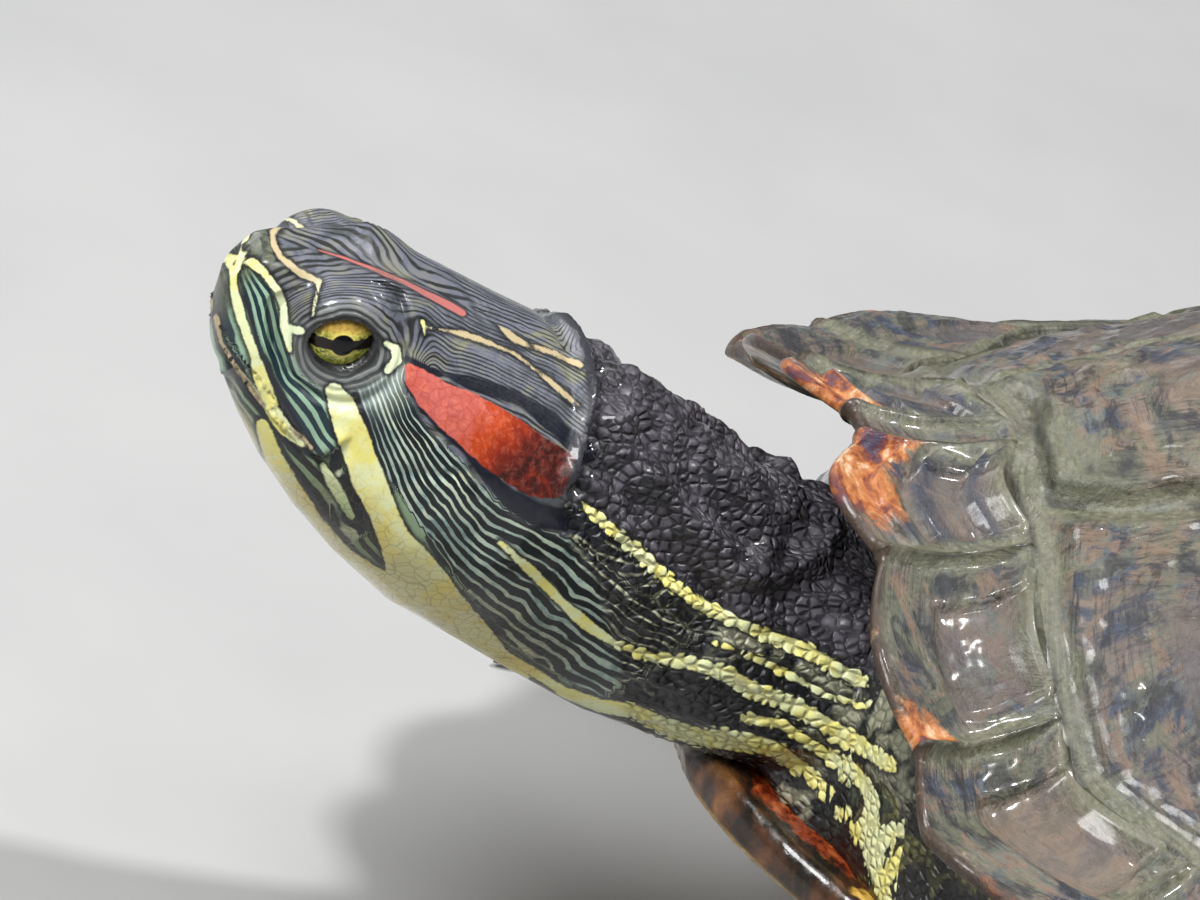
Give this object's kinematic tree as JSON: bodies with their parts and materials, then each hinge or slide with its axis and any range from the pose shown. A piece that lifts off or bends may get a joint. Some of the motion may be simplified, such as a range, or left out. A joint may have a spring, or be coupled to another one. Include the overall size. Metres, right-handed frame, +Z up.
{
  "type": "red-eared slider turtle model",
  "caption": "Life-size still model of an adult red-eared slider turtle, standing with its neck stretched out and its front raised.",
  "frame": {"origin": "on the floor under the middle of the animal's bounding box", "axes": "+X the animal's left, +Y towards its tail, so it faces -Y, +Z up"},
  "size_m": [0.2464, 0.3416, 0.1195],
  "materials": {
    "skin": "wet, wrinkled skin with yellow, pale green and black stripes and a red ear patch",
    "carapace": "horny plates, olive and grey-brown with orange-tan rim edges, wet",
    "plastron": "horny plates, yellow with dark blotches",
    "eye": "polished, yellow-green iris with a dark bar and round pupil",
    "claw": "dark smooth horn"
  },
  "bodies": {
    "root": {"carapace": "carapace", "plastron": "plastron", "trunk": "skin", "neck_base": "skin", "neck_front": "skin", "head": "skin", "lower_jaw": "skin", "eye_left": "eye", "eye_right": "eye", "tail": "skin", "foreleg_left_upper": "skin", "foreleg_left_lower": "skin", "foreleg_left_foot": "skin", "foreleg_left_claw_1": "claw", "foreleg_left_claw_2": "claw", "foreleg_left_claw_3": "claw", "foreleg_left_claw_4": "claw", "foreleg_left_claw_5": "claw", "foreleg_right_upper": "skin", "foreleg_right_lower": "skin", "foreleg_right_foot": "skin", "foreleg_right_claw_1": "claw", "foreleg_right_claw_2": "claw", "foreleg_right_claw_3": "claw", "foreleg_right_claw_4": "claw", "foreleg_right_claw_5": "claw", "hindleg_left_upper": "skin", "hindleg_left_lower": "skin", "hindleg_left_foot": "skin", "hindleg_left_claw_1": "claw", "hindleg_left_claw_2": "claw", "hindleg_left_claw_3": "claw", "hindleg_left_claw_4": "claw", "hindleg_right_upper": "skin", "hindleg_right_lower": "skin", "hindleg_right_foot": "skin", "hindleg_right_claw_1": "claw", "hindleg_right_claw_2": "claw", "hindleg_right_claw_3": "claw", "hindleg_right_claw_4": "claw"}
  },
  "joints": []
}
